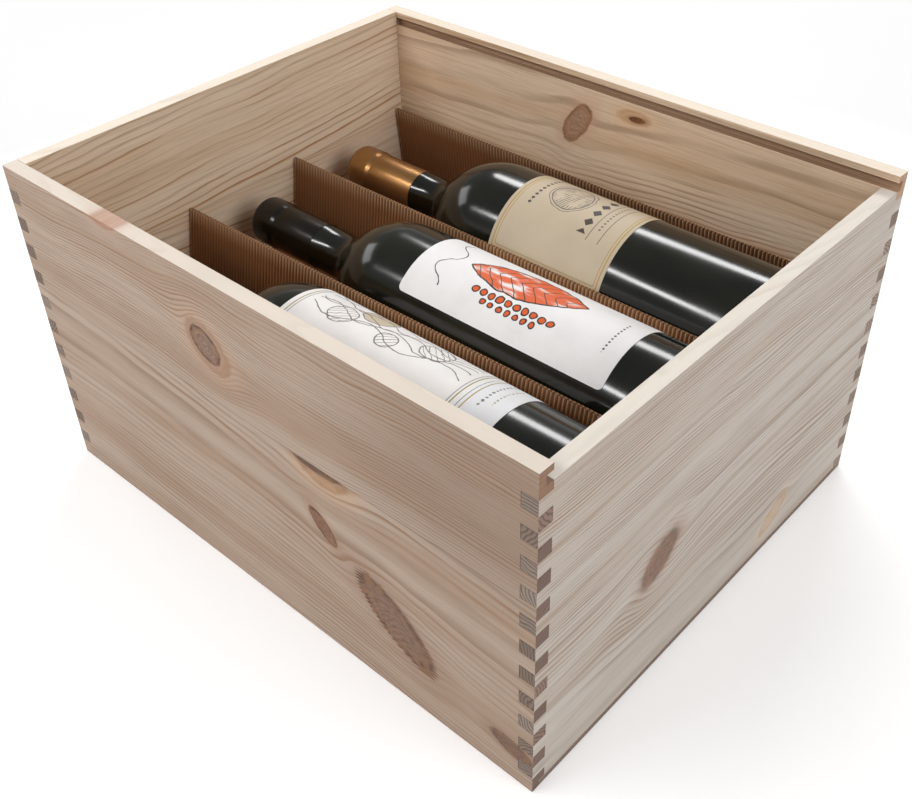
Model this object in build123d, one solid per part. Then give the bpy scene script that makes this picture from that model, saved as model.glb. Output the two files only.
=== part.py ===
from build123d import *
import math
import os

os.makedirs("parts", exist_ok=True)

# Wooden wine box for six bottles in two layers, millimetres.
# Origin: centre of the underside. X runs along the long side, Y to the back, Z up.

# Wine bottles
bottle_radius = 36.9
wide_bottle_radius = 38.8
lower_bottle_radius = 36.4
body_length = 198.5
neck_length = 71.1
heel_radius = 6.0
punt_depth = 14.0
punt_rim = 4.0
shoulder_radius = 50.0
throat_radius = 16.0
neck_radius = 13.5
finish_radius = 14.2
finish_height = 16.0
finish_edge = 1.6

# Room round the bottles
base_gap = 0.5
mouth_room = 20.943
front_room = 15.3
divider_room = 6.4
rear_room = 20.7
head_room = 34.45
seat_gap = 0.15

# Box boards
wall = 8.5

# Finger joints at the four corners
finger_count = 11
joint_foot = 10.3
joint_head = 4.65
glue_line = 0.05

# Groove of the sliding lid, in the two long walls
lid_lip = 3.7
groove_height = 5.0
groove_depth = 4.2

# Bottom panel, let into rebates of the long walls
panel_thickness = 4.0
rebate_depth = 4.2
panel_fit = 0.1

# Foil capsules
foil = 0.35
foil_fit = 0.02
capsule_length = 55.0
short_capsule_length = 51.5

# Paper labels: span along the bottle from its base, then angles from its top to the front and to the back
paper = 0.2
paper_fit = 0.03
label_corner = 3.0
strip_label_span = (57.5, 79.7)
front_label_span = (80.1, 198.0)
middle_label_span = (44.75, 177.75)
rear_label_span = (101.25, 179.25)
front_label_wrap_angles = (60.0, 66.0)
middle_label_wrap_angles = (50.0, 84.0)
rear_label_wrap_angles = (72.0, 60.0)

# Layer pad between the two layers
pad_thickness = 1.0
pad_play = 0.6

# Dividers of single-faced corrugated board
liner = 0.6
flute_rise = 1.4
flute_pitch = 2.5
divider_height = 55.0
divider_play = 0.8
divider_seat = 0.1
rear_divider_gap = 0.4
front_divider_lean_angle = 11.1
front_divider_yaw_angle = 0.8
middle_divider_lean_angle = 8.2
middle_divider_yaw_angle = 0.17
middle_divider_shift = 1.1
rear_divider_lean_angle = -4.9

# Levels that follow from the sizes above
lower_axis = panel_thickness + seat_gap + lower_bottle_radius
pad_floor = lower_axis + lower_bottle_radius + seat_gap
pad_top = pad_floor + pad_thickness
upper_seat = pad_top + seat_gap
upper_axis = upper_seat + bottle_radius
groove_floor = upper_seat + 2 * wide_bottle_radius + head_room
box_height = groove_floor + groove_height + lid_lip
finger = (groove_floor - joint_head - joint_foot) / (2 * finger_count - 1)

# Lengths and widths that follow from the sizes above
shoulder_reach = shoulder_radius + throat_radius


def mouth_plane(radius):
    """How far from its base a bottle's mouth lies."""
    shoulder_run = math.sqrt(shoulder_reach**2 - (neck_radius - radius + shoulder_reach) ** 2)
    return body_length + shoulder_run + neck_length


inner_length = base_gap + mouth_plane(wide_bottle_radius) + mouth_room
inner_width = front_room + 4 * bottle_radius + 2 * divider_room + 2 * wide_bottle_radius + rear_room
inner_x = inner_length / 2
inner_y = inner_width / 2
box_length = inner_length + 2 * wall
box_width = inner_width + 2 * wall
base_plane = inner_x - base_gap
body_middle = base_plane - body_length / 2
divider_thickness = liner + flute_rise

# Where the bottles lie across the box
front_row = -inner_y + front_room + bottle_radius
middle_row = front_row + 2 * bottle_radius + divider_room
rear_row = middle_row + bottle_radius + divider_room + wide_bottle_radius
row_names = ("front", "middle", "rear")
bottle_rows = (front_row, middle_row, rear_row)

# Where the dividers stand: across the box at the height of the bottle axes
front_gap = front_row + bottle_radius + divider_room / 2
middle_gap = middle_row + bottle_radius + divider_room / 2
rear_gap = inner_y - divider_thickness / 2 - rear_divider_gap


def block(x0, x1, y0, y1, z0, z1):
    """Solid box between two corners."""
    return Pos((x0 + x1) / 2, (y0 + y1) / 2, (z0 + z1) / 2) * Box(x1 - x0, y1 - y0, z1 - z0)


def finger_spans(growth):
    """Lower and upper height of each end-wall finger, grown by the given amount on both sides."""
    feet = [joint_foot + index * 2 * finger for index in range(finger_count)]
    return [(foot - growth, foot + finger + growth) for foot in feet]


def long_wall():
    """Front wall with its sockets, lid groove and bottom rebate; the outer face looks to -Y."""
    outer = -box_width / 2
    inner = -inner_y
    board = block(-box_length / 2, box_length / 2, outer, inner, 0, box_height)
    cutters = []
    for low, high in finger_spans(glue_line):
        cutters.append(block(inner_x, box_length / 2, outer, inner, low, high))
        cutters.append(block(-box_length / 2, -inner_x, outer, inner, low, high))
    groove_back = inner - groove_depth
    groove_top = groove_floor + groove_height
    cutters.append(block(-inner_x, box_length / 2, groove_back, inner, groove_floor, groove_top))
    cutters.append(block(-box_length / 2, box_length / 2, inner - rebate_depth, inner, 0, panel_thickness))
    return board - cutters


def end_wall(top):
    """Right end wall up to the given height, with fingers at both ends; it stands on the bottom panel."""
    width = inner_y - glue_line
    board = block(inner_x + glue_line, box_length / 2, -width, width, panel_thickness + glue_line, top)
    fingers = [
        block(inner_x + glue_line, box_length / 2, -box_width / 2, box_width / 2, low, high)
        for low, high in finger_spans(0)
    ]
    return board + fingers


def bottom_panel():
    """Thin panel under the end walls, held in the rebates of the long walls."""
    half = inner_y + rebate_depth - panel_fit
    return block(-box_length / 2, box_length / 2, -half, half, 0, panel_thickness - glue_line)


def bottle_outline(radius):
    """Half section of a high-shouldered bottle: base at X = 0, neck towards +X, radius along Y."""
    mouth = mouth_plane(radius)
    neck_foot = mouth - neck_length
    shoulder_centre = radius - shoulder_radius
    throat_centre = neck_radius + throat_radius
    run = neck_foot - body_length
    share = shoulder_radius / shoulder_reach
    meet = (body_length + run * share, shoulder_centre + (throat_centre - shoulder_centre) * share)
    half_angle = math.asin(run / shoulder_reach) / 2
    shoulder_middle = (
        body_length + shoulder_radius * math.sin(half_angle),
        shoulder_centre + shoulder_radius * math.cos(half_angle),
    )
    throat_middle = (
        neck_foot - throat_radius * math.sin(half_angle),
        throat_centre - throat_radius * math.cos(half_angle),
    )
    heel_middle = heel_radius * (1 - math.cos(math.pi / 4))
    stand = radius - heel_radius - punt_rim
    finish_foot = mouth - finish_height
    edges = [
        ThreePointArc((punt_depth, 0), (punt_depth * 0.75, stand / 2), (0, stand)),
        Line((0, stand), (0, radius - heel_radius)),
        ThreePointArc((0, radius - heel_radius), (heel_middle, radius - heel_middle), (heel_radius, radius)),
        Line((heel_radius, radius), (body_length, radius)),
        ThreePointArc((body_length, radius), shoulder_middle, meet),
        ThreePointArc(meet, throat_middle, (neck_foot, neck_radius)),
        Line((neck_foot, neck_radius), (finish_foot, neck_radius)),
        Line((finish_foot, neck_radius), (finish_foot, finish_radius)),
        Line((finish_foot, finish_radius), (mouth - finish_edge, finish_radius)),
        Line((mouth - finish_edge, finish_radius), (mouth, finish_radius - finish_edge)),
        Line((mouth, finish_radius - finish_edge), (mouth, 0)),
        Line((mouth, 0), (punt_depth, 0)),
    ]
    return make_face(edges)


def lay(shape, y, z):
    """Turn a piece modelled along +X from a bottle's base and lay it in its row, neck to the left."""
    return Pos(base_plane, y, z) * Rot(0, 0, 180) * shape


def bottle(radius):
    """Sealed bottle as one solid, its axis on X."""
    return revolve(bottle_outline(radius), Axis.X)


def capsule(length):
    """Foil sleeve over a mouth at X = 0, which runs the given length down the neck towards -X."""
    skin = foil_fit + foil
    outer = [
        (-length, 0),
        (-length, neck_radius + skin),
        (-finish_height - skin, neck_radius + skin),
        (-finish_height - skin, finish_radius + skin),
        (skin - finish_edge, finish_radius + skin),
        (skin, finish_radius + skin - finish_edge),
        (skin, 0),
    ]
    inside = [
        (-length, 0),
        (-length, neck_radius + foil_fit),
        (-finish_height - foil_fit, neck_radius + foil_fit),
        (-finish_height - foil_fit, finish_radius + foil_fit),
        (foil_fit - finish_edge, finish_radius + foil_fit),
        (foil_fit, finish_radius + foil_fit - finish_edge),
        (foil_fit, 0),
    ]
    section = make_face(Polyline(*outer, close=True)) - make_face(Polyline(*inside, close=True))
    return revolve(section, Axis.X)


def label(radius, span, wrap):
    """Paper label round the bottle; span runs along it from the base, the top of the bottle is +Z."""
    inner = radius + paper_fit
    to_front, to_back = wrap
    ring = Circle(inner + paper) - Circle(inner)
    corners = [(0, 0)]
    for share in (0.0, 0.25, 0.5, 0.75, 1.0):
        angle = math.radians(90 - to_front + share * (to_front + to_back))
        corners.append((2 * radius * math.cos(angle), 2 * radius * math.sin(angle)))
    wedge = make_face(Polyline(*corners, close=True))
    start, end = span
    sheet = extrude(Plane.YZ * (ring & wedge), amount=end - start)
    thickness_edges = [edge for edge in sheet.edges().filter_by(GeomType.LINE) if edge.length < 2 * paper]
    return Pos(start, 0, 0) * fillet(thickness_edges, label_corner)


def corrugated_sheet():
    """Single-faced board standing on Z = 0: flat liner to +Y, upright flutes to -Y."""
    length = 2 * (inner_x - divider_play)
    flutes = int(length / flute_pitch)
    step = length / flutes
    left = -length / 2
    back = divider_thickness / 2
    valley = back - liner
    outline = [(left, back), (left, valley)]
    for index in range(flutes):
        outline.append((left + (index + 0.5) * step, -back))
        outline.append((left + (index + 1) * step, valley))
    outline.append((-left, back))
    return extrude(make_face(Polyline(*outline, close=True)), amount=divider_height)


def plain_sheet(y):
    """Divider of the hidden lower layer: the same board as one flat sheet, upright at the given place."""
    half = inner_x - divider_play
    half_thickness = divider_thickness / 2
    floor = panel_thickness + divider_seat
    return block(-half, half, y - half_thickness, y + half_thickness, floor, floor + divider_height)


def divider(foot, lean, yaw):
    """Corrugated sheet standing on the layer pad, its lower edge across the box at foot."""
    dip = divider_thickness / 2 * math.sin(math.radians(abs(lean)))
    return Pos(0, foot, pad_top + divider_seat + dip) * Rot(0, 0, yaw) * Rot(-lean, 0, 0) * corrugated_sheet()


def leaning_foot(gap, lean, yaw):
    """Where an upper divider's foot stands when it leans and turns in the middle of a gap between bottles."""
    rise = upper_axis - pad_top
    return gap - rise * math.tan(math.radians(lean)) - body_middle * math.tan(math.radians(yaw))


def layer_pad():
    """Flat board sheet that covers the lower layer."""
    half_x = inner_x - pad_play
    half_y = inner_y - pad_play
    return block(-half_x, half_x, -half_y, half_y, pad_floor, pad_top)


front_wall = long_wall()
left_end_wall = mirror(end_wall(box_height), about=Plane.YZ)
pieces = {
    "front_wall": front_wall,
    "back_wall": mirror(front_wall, about=Plane.XZ),
    "left_end_wall": left_end_wall,
    "right_end_wall": end_wall(groove_floor),
    "bottom_panel": bottom_panel(),
    "layer_pad": layer_pad(),
}

# Lower layer, out of sight under the pad
lower_mouth = mouth_plane(lower_bottle_radius)
for name, row in zip(row_names, bottle_rows):
    pieces["lower_bottle_" + name] = lay(bottle(lower_bottle_radius), row, lower_axis)
    pieces["lower_capsule_" + name] = lay(Pos(lower_mouth, 0, 0) * capsule(capsule_length), row, lower_axis)
pieces["lower_divider_front"] = plain_sheet((front_row + middle_row) / 2)
pieces["lower_divider_middle"] = plain_sheet((middle_row + rear_row) / 2)
pieces["lower_divider_rear"] = plain_sheet(rear_gap)


def stack_bottle(name, row, radius, capsule_reach):
    """Bottle of the upper layer and its capsule."""
    mouth = mouth_plane(radius)
    pieces["bottle_" + name] = lay(bottle(radius), row, upper_seat + radius)
    pieces["capsule_" + name] = lay(Pos(mouth, 0, 0) * capsule(capsule_reach), row, upper_seat + radius)


def stick_label(name, row, radius, span, wrap):
    """Label on a bottle of the upper layer."""
    pieces[name] = lay(label(radius, span, wrap), row, upper_seat + radius)


# Upper layer
stack_bottle("front", front_row, bottle_radius, capsule_length)
stack_bottle("middle", middle_row, bottle_radius, short_capsule_length)
stack_bottle("rear", rear_row, wide_bottle_radius, capsule_length)
stick_label("label_front", front_row, bottle_radius, front_label_span, front_label_wrap_angles)
stick_label("label_strip", front_row, bottle_radius, strip_label_span, front_label_wrap_angles)
stick_label("label_middle", middle_row, bottle_radius, middle_label_span, middle_label_wrap_angles)
stick_label("label_rear", rear_row, wide_bottle_radius, rear_label_span, rear_label_wrap_angles)
front_foot = leaning_foot(front_gap, front_divider_lean_angle, front_divider_yaw_angle)
middle_place = middle_gap + middle_divider_shift
middle_foot = leaning_foot(middle_place, middle_divider_lean_angle, middle_divider_yaw_angle)
pieces["divider_front"] = divider(front_foot, front_divider_lean_angle, front_divider_yaw_angle)
pieces["divider_middle"] = divider(middle_foot, middle_divider_lean_angle, middle_divider_yaw_angle)
pieces["divider_rear"] = divider(rear_gap, rear_divider_lean_angle, 0)

for name, shape in pieces.items():
    export_step(shape, "parts/" + name + ".step")
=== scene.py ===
import logging
import math
from collections.abc import Sequence
from dataclasses import dataclass, field
from enum import Enum, IntEnum
from typing import ClassVar

import bmesh
import bpy
from mathutils import Matrix, Vector


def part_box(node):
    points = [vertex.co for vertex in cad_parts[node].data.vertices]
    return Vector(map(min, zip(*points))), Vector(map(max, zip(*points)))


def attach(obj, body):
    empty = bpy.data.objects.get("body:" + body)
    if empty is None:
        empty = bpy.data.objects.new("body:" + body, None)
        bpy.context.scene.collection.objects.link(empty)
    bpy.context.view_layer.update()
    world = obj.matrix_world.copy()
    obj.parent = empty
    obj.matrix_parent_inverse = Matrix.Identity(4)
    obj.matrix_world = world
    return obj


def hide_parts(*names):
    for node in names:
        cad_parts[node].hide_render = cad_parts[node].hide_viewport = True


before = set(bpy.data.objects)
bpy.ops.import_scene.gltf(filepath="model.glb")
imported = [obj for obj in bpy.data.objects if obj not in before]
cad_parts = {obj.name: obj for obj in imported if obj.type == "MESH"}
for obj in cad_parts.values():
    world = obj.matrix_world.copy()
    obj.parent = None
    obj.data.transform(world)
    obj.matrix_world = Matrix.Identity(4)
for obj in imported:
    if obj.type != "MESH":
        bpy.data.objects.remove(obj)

LOG = logging.getLogger("wine_box")
MM = 0.001
Colour = tuple[float, float, float]
Point = tuple[float, float]
Point3 = tuple[float, float, float]
Socket = bpy.types.NodeSocket
Layer = tuple[Socket, Colour]
WHITE: Colour = (1.0, 1.0, 1.0)
BLACK: Colour = (0.0, 0.0, 0.0)


def srgb(red: int, green: int, blue: int) -> Colour:
    """Turn a colour as it looks on a screen into linear light.

    Args:
        red: red, 0 to 255.
        green: green, 0 to 255.
        blue: blue, 0 to 255.

    Returns:
        The three linear values.
    """
    def linear(value: int) -> float:
        """Give the linear light of one channel."""
        share = value / 255
        return share / 12.92 if share <= 0.04045 else ((share + 0.055) / 1.055) ** 2.4

    return linear(red), linear(green), linear(blue)


def shaded(colour: Colour, factor: float) -> Colour:
    """Make a colour darker, or lighter where the factor is above 1.

    Args:
        colour: the colour.
        factor: what its light is multiplied by.

    Returns:
        The new colour.
    """
    red, green, blue = colour
    return factor * red, factor * green, factor * blue


@dataclass(frozen=True)
class Pattern:
    """A noise pattern, and the mask that is made of it.

    Attributes:
        scale: features per millimetre along each of its three coordinates.
        low: the noise value where the mask starts.
        high: the noise value where the mask is full.
        share: how much the full mask covers.
        detail: octaves.
        roughness: weight of the finer octaves.
    """

    scale: Point3
    low: float = 0.0
    high: float = 1.0
    share: float = 1.0
    detail: float = 2.0
    roughness: float = 0.5


class Graph:
    """The node tree of a finish or of the world, with short calls for the nodes that are used."""

    def __init__(self, owner: bpy.types.Material | bpy.types.World) -> None:
        """Start an empty tree.

        Args:
            owner: the material or world that the tree belongs to.
        """
        self.owner = owner
        owner.use_nodes = True
        self.tree = owner.node_tree
        self.tree.nodes.clear()

    @classmethod
    def finish(cls, name: str) -> "Graph":
        """Start the tree of a new material."""
        return cls(bpy.data.materials.new(name))

    def node(self, kind: str, values: dict | None = None, **settings: object) -> bpy.types.Node:
        """Add a node.

        Args:
            kind: the node's type name.
            values: input name or number to a value or a socket.
            settings: properties of the node itself.

        Returns:
            The new node.
        """
        made = self.tree.nodes.new(kind)
        for key, value in settings.items():
            setattr(made, key, value)
        for key, value in (values or {}).items():
            if isinstance(value, Socket):
                self.tree.links.new(value, made.inputs[key])
            else:
                made.inputs[key].default_value = value
        return made

    def math(self, operation: str, *values: object) -> Socket:
        """Add a math node.

        Args:
            operation: the math node's operation.
            values: its inputs in order.

        Returns:
            The result's socket.
        """
        return self.node("ShaderNodeMath", dict(enumerate(values)), operation=operation).outputs[0]

    def plus(self, first: object, second: object) -> Socket:
        """Add two values."""
        return self.math("ADD", first, second)

    def minus(self, first: object, second: object) -> Socket:
        """Take the second value from the first."""
        return self.math("SUBTRACT", first, second)

    def times(self, first: object, second: object) -> Socket:
        """Multiply two values."""
        return self.math("MULTIPLY", first, second)

    def ramp(self, value: object, slope: object, start: object) -> Socket:
        """Multiply a value by a slope and add a start."""
        return self.math("MULTIPLY_ADD", value, slope, start)

    def raised(self, mask: object, floor: float) -> Socket:
        """Raise a mask, so that it goes from the floor to 1 instead of from 0 to 1."""
        return self.ramp(mask, 1.0 - floor, floor)

    def sway(self, noise: object, size: float) -> Socket:
        """Turn a noise value into a shift of half the size either way."""
        return self.times(self.minus(noise, 0.5), size)

    def far(self, first: object, second: object) -> Socket:
        """Give how far a point with these two coordinates lies from the middle."""
        return self.math("SQRT", self.plus(self.times(first, first), self.times(second, second)))

    def axes(self) -> tuple[Socket, ...]:
        """Give the object coordinates in millimetres.

        Returns:
            The sockets of X, Y and Z.
        """
        place = self.node("ShaderNodeTexCoord").outputs["Object"]
        scaled = self.node("ShaderNodeVectorMath", {0: place, "Scale": 1 / MM}, operation="SCALE")
        return tuple(self.node("ShaderNodeSeparateXYZ", {0: scaled.outputs[0]}).outputs)

    def uv(self) -> tuple[Socket, ...]:
        """Give the piece's own UV map, which holds millimetres.

        Returns:
            The sockets of U and V.
        """
        place = self.node("ShaderNodeUVMap", uv_map="sheet").outputs[0]
        return tuple(self.node("ShaderNodeSeparateXYZ", {0: place}).outputs)[:2]

    def noise(self, place: Sequence[object], pattern: Pattern) -> Socket:
        """Add noise with its own scale along each axis.

        Args:
            place: three coordinates in millimetres.
            pattern: the pattern.

        Returns:
            The value's socket, 0 to 1, about 0.5 on average.
        """
        parts = [self.times(value, factor) for value, factor in zip(place, pattern.scale)]
        vector = self.node("ShaderNodeCombineXYZ", dict(enumerate(parts))).outputs[0]
        values = {"Vector": vector, "Scale": 1.0, "Detail": pattern.detail, "Roughness": pattern.roughness}
        return self.node("ShaderNodeTexNoise", values).outputs[0]

    def mask(self, noise: object, pattern: Pattern) -> Socket:
        """Turn a pattern's noise value into its mask.

        Args:
            noise: the noise value.
            pattern: the pattern.

        Returns:
            The mask's socket.
        """
        mask = self.step(noise, pattern.low, pattern.high)
        return mask if pattern.share == 1.0 else self.times(mask, pattern.share)

    def spots(self, place: Sequence[object], pattern: Pattern) -> Socket:
        """Add noise and turn it into its mask."""
        return self.mask(self.noise(place, pattern), pattern)

    def chance(self, number: object) -> Socket:
        """Give a whole number its own value from 0 to 1, the same each run."""
        return self.node("ShaderNodeTexWhiteNoise", {"W": number}, noise_dimensions="1D").outputs["Value"]

    def step(self, value: object, low: float, high: float) -> Socket:
        """Rise smoothly from 0 to 1.

        Args:
            value: the value that is looked at.
            low: where the rise starts.
            high: where it ends, which may lie below its start.

        Returns:
            The result's socket.
        """
        rising = low < high
        values = {"Value": value, "From Min": min(low, high), "From Max": max(low, high),
                  "To Min": 0.0 if rising else 1.0, "To Max": 1.0 if rising else 0.0}
        return self.node("ShaderNodeMapRange", values, interpolation_type="SMOOTHSTEP").outputs[0]

    def band(self, value: object, centre: float, half: float, soft: float = 0.12) -> Socket:
        """Mark a narrow range of a value.

        Args:
            value: the value that is looked at.
            centre: the middle of the range.
            half: half of its width.
            soft: width of its soft edge.

        Returns:
            A mask's socket, 1 inside.
        """
        gap = self.math("ABSOLUTE", self.minus(value, centre))
        return self.step(gap, half + soft, half)

    def mix(self, share: object, first: object, second: object) -> Socket:
        """Blend two colours.

        Args:
            share: 0 gives the first, 1 the second.
            first: a colour or its socket.
            second: a colour or its socket.

        Returns:
            The blended colour's socket.
        """
        made = self.node("ShaderNodeMix", {0: share}, data_type="RGBA")
        for index, value in ((6, first), (7, second)):
            if isinstance(value, Socket):
                self.tree.links.new(value, made.inputs[index])
            else:
                made.inputs[index].default_value = (*value, 1.0)
        return made.outputs[2]

    def bump(self, height: Socket, depth: float) -> Socket:
        """Turn a height into a normal.

        Args:
            height: a value from 0 to 1.
            depth: its full height in millimetres.

        Returns:
            The normal's socket.
        """
        values = {"Height": height, "Distance": depth * MM, "Strength": 1.0}
        return self.node("ShaderNodeBump", values).outputs[0]

    def surface(self, values: dict) -> bpy.types.Material:
        """Close a material's tree with its shader.

        Args:
            values: the principled shader's inputs, colours as three values or a socket.

        Returns:
            The finished material.
        """
        ready = {key: (*value, 1.0) if isinstance(value, tuple) else value for key, value in values.items()}
        shader = self.node("ShaderNodeBsdfPrincipled", ready)
        self.node("ShaderNodeOutputMaterial", {"Surface": shader.outputs[0]})
        return self.owner


class Run(Enum):
    """The axis that a board's grain runs along, with the number of its coordinate and of its thickness."""

    X = (0, 1)
    Y = (1, 0)


class PaintedLight(Enum):
    """Painted light and shade on a side of a board: how much its tone covers the wood, and that tone. EDGE is
    painted light that makes the top edges paler, GROOVE is painted shade in the lid's groove.
    """

    PLANED = (0.0, srgb(255, 247, 234))
    # painted light: the top edges are made pale cream, as if lit from above
    EDGE = (0.58, srgb(255, 247, 234))
    # painted shade: the lid's groove is made dark brown, where shade falls
    GROOVE = (0.58, srgb(116, 70, 34))


@dataclass(frozen=True)
class Knot:
    """A knot on a board's face. Sizes are in millimetres.

    Attributes:
        along: its middle along the board.
        height: the height of its middle.
        half_length: half of its length.
        half_width: half of its width.
        tilt: the angle of its length to the board, in degrees.
        colour: its own colour.
        rim: the colour of its rim, and of its rings.
        reach: how far it bends the grain, counted in its own size.
        strength: how much it covers the wood.
        teeth: how far its edge is notched, counted in its own size.
        ceiling: the height of the glue line that cuts it off.
        soft: how soft its edge is, counted in its own size.
    """

    along: float
    height: float
    half_length: float
    half_width: float
    tilt: float
    colour: Colour
    rim: Colour
    reach: float
    strength: float = 1.0
    teeth: float = 0.04
    ceiling: float = 999.0
    soft: float = 0.07

    NOTCHES: ClassVar[float] = 0.47
    UNEVEN: ClassVar[Pattern] = Pattern((0.14, 0.14, 1.0), low=0.42, high=0.58, roughness=0.6)
    UNEVENNESS: ClassVar[float] = 0.35
    MOTTLE: ClassVar[Pattern] = Pattern((0.22, 0.5, 1.0), low=0.4, high=0.65, share=0.45, detail=3.0,
                                        roughness=0.6)
    RINGS: ClassVar[float] = 27.0
    EDGE: ClassVar[float] = 1.05
    HALO: ClassVar[float] = 2.0

    def bend(self, graph: Graph, along: Socket, height: Socket) -> tuple[Socket, Socket, Socket]:
        """Measure how far from the knot's middle a point lies, and how the knot bends the grain there.

        Args:
            graph: the material's nodes.
            along: the coordinate along the board.
            height: the height.

        Returns:
            How far the grain is pushed up, the distance, 1 at the knot's edge, and where it may show.
        """
        ahead = graph.minus(along, self.along)
        above = graph.minus(height, self.height)
        turn = math.cos(math.radians(self.tilt))
        side = math.sin(math.radians(self.tilt))
        lengthways = graph.ramp(ahead, turn, graph.times(above, side))
        aside = graph.ramp(above, turn, graph.times(ahead, -side))
        far = graph.far(graph.math("DIVIDE", lengthways, self.half_length),
                        graph.math("DIVIDE", aside, self.half_width))
        within = graph.math("LESS_THAN", height, self.ceiling)
        fading = graph.math("EXPONENT", graph.times(graph.times(far, far), -1 / self.reach**2))
        push = graph.times(aside, graph.times(graph.times(fading, within), turn))
        return push, far, within

    def draw(self, graph: Graph, colour: Socket, spot: tuple[Socket, Socket], far: Socket, within: Socket,
             mottle: Socket, notches: Socket, amber: Colour) -> Socket:
        """Draw the knot over the wood: a halo, its rings, its broken dark rim and an amber glow in the gaps.

        Args:
            graph: the material's nodes.
            colour: the wood's colour.
            spot: the coordinate along the board, and the height.
            far: the distance from the knot's middle, 1 at its edge.
            within: where the knot may show.
            mottle: the mask of its darker spots.
            notches: a saw-tooth value along the height.
            amber: the colour of the glow.

        Returns:
            The new colour.
        """
        uneven = graph.noise((*spot, self.along), self.UNEVEN)
        edge = graph.ramp(graph.minus(uneven, 0.5), self.UNEVENNESS, far)
        edge = graph.ramp(notches, self.teeth, edge)
        rings = graph.math("SINE", graph.times(edge, self.RINGS))
        heart = graph.mix(graph.ramp(rings, 0.2, 0.24), self.colour, self.rim)
        heart = graph.mix(mottle, heart, self.rim)
        dark_rim = graph.mask(uneven, self.UNEVEN)
        glow = graph.times(graph.minus(1.0, dark_rim), graph.band(edge, 0.85, 0.05, 0.25))
        heart = graph.mix(graph.times(glow, 0.6), heart, amber)
        dark_rim = graph.raised(dark_rim, 0.25)
        heart = graph.mix(graph.times(graph.band(edge, 0.96, 0.02, 0.16), dark_rim), heart, self.rim)
        cover = graph.times(within, self.strength)
        halo = graph.times(graph.step(edge, self.HALO, 1.0), graph.times(cover, 0.4))
        colour = graph.mix(halo, colour, shaded(self.colour, 1.25))
        inside = graph.step(edge, self.EDGE + self.soft, self.EDGE - self.soft)
        return graph.mix(graph.times(inside, cover), colour, heart)


@dataclass(frozen=True)
class Strip:
    """One of the glued strips of a board, sizes in millimetres.

    Attributes:
        top: the height where it ends.
        pith_height: the height of its log's pith.
        pith_depth: the pith's place across the board.
        fall: how much the grain falls for each millimetre along the board.
        spacing: the width of a year's ring.
    """

    top: float
    pith_height: float
    pith_depth: float
    fall: float
    spacing: float


@dataclass(frozen=True)
class DarkerZone:
    """A soft, darker zone of a board, sizes in millimetres."""

    along: float
    height: float
    half_length: float
    half_height: float
    colour: Colour

    FADE: ClassVar[Point] = (1.5, 0.3)
    SHARE: ClassVar[float] = 0.8

    def lay(self, graph: Graph, colour: Socket, along: Socket, height: Socket) -> Socket:
        """Lay the zone over the wood.

        Args:
            graph: the material's nodes.
            colour: the wood's colour.
            along: the coordinate along the board.
            height: the height.

        Returns:
            The new colour.
        """
        far = graph.far(graph.math("DIVIDE", graph.minus(along, self.along), self.half_length),
                        graph.math("DIVIDE", graph.minus(height, self.height), self.half_height))
        return graph.mix(graph.times(graph.step(far, *self.FADE), self.SHARE), colour, self.colour)


@dataclass(frozen=True)
class OuterTone:
    """The greyer tone of a board's outer face, from a distance out of the box's middle in millimetres; the
    inner face keeps the board's paler colours, which are painted light inside the box.
    """

    distance: float
    colour: Colour

    SHARE: ClassVar[float] = 0.7

    def lay(self, graph: Graph, colour: Socket, depth: Socket) -> Socket:
        """Lay the tone over the wood.

        Args:
            graph: the material's nodes.
            colour: the wood's colour.
            depth: the coordinate across the board.

        Returns:
            The new colour.
        """
        outside = graph.math("GREATER_THAN", graph.math("ABSOLUTE", depth), self.distance)
        return graph.mix(graph.times(outside, self.SHARE), colour, self.colour)


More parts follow.
